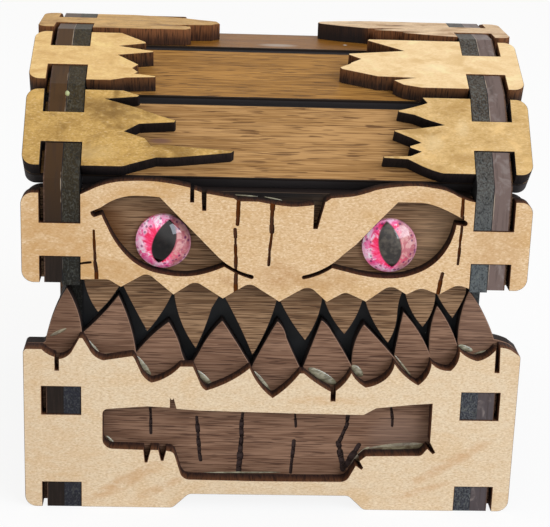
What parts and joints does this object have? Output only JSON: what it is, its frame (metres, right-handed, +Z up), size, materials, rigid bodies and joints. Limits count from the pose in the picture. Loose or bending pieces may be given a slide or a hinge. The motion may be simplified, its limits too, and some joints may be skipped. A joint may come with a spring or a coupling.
{
  "type": "dice storage chest",
  "caption": "Small laser-cut plywood chest with a hinged plank lid, a toothed monster face with glass eyes and a hollow box for dice.",
  "frame": {"origin": "centre of the chest's footprint on the surface it stands on", "axes": "+X to the right of someone facing the chest, front faces -Y, +Z up"},
  "size_m": [0.092, 0.0818, 0.0857],
  "materials": {
    "maple_ply": "bare maple-faced plywood, laser cut",
    "walnut_ply": "dark walnut-faced plywood, oiled",
    "walnut_plank": "walnut-faced plywood, oiled",
    "brown_ply": "brown stained plywood",
    "black_ply": "black painted plywood",
    "floor_ply": "walnut-faced plywood",
    "dowel": "birch dowel",
    "eye_glass": "polished glass cabochon over a printed iris"
  },
  "bodies": {
    "base": {"back_board": "black_ply", "back_maple": "maple_ply", "back_walnut": "walnut_ply", "base_end_lining_left": "black_ply", "base_end_lining_right": "black_ply", "base_end_shell_left": "brown_ply", "base_end_shell_right": "brown_ply", "floor_board": "floor_ply", "hinge_pin_left": "dowel", "hinge_pin_right": "dowel", "jaw_maple": "maple_ply", "jaw_walnut_teeth": "walnut_ply", "mouth_board": "black_ply"},
    "lid": {"eye_left": "eye_glass", "eye_right": "eye_glass", "face_maple": "maple_ply", "face_walnut_teeth": "walnut_ply", "lid_back_maple": "maple_ply", "lid_back_walnut": "walnut_ply", "lid_end_lining_left": "black_ply", "lid_end_lining_right": "black_ply", "lid_end_shell_left": "brown_ply", "lid_end_shell_right": "brown_ply", "overlay_front_high_left": "maple_ply", "overlay_front_high_right": "maple_ply", "overlay_front_low_left": "maple_ply", "overlay_front_low_right": "maple_ply", "overlay_rear_high_left": "maple_ply", "overlay_rear_high_right": "maple_ply", "overlay_rear_low_left": "maple_ply", "overlay_rear_low_right": "maple_ply", "overlay_top_left": "maple_ply", "overlay_top_right": "maple_ply", "plank_front_high": "walnut_plank", "plank_front_low": "walnut_plank", "plank_rear_high": "walnut_plank", "plank_rear_low": "walnut_plank", "plank_top": "walnut_plank"}
  },
  "joints": [
    {"name": "lid_hinge", "type": "hinge", "parent": "base", "child": "lid", "pos_m": [0, 0.03592, 0.0383], "axis": [-1, 0, 0], "range_deg": [0, 100]}
  ]
}
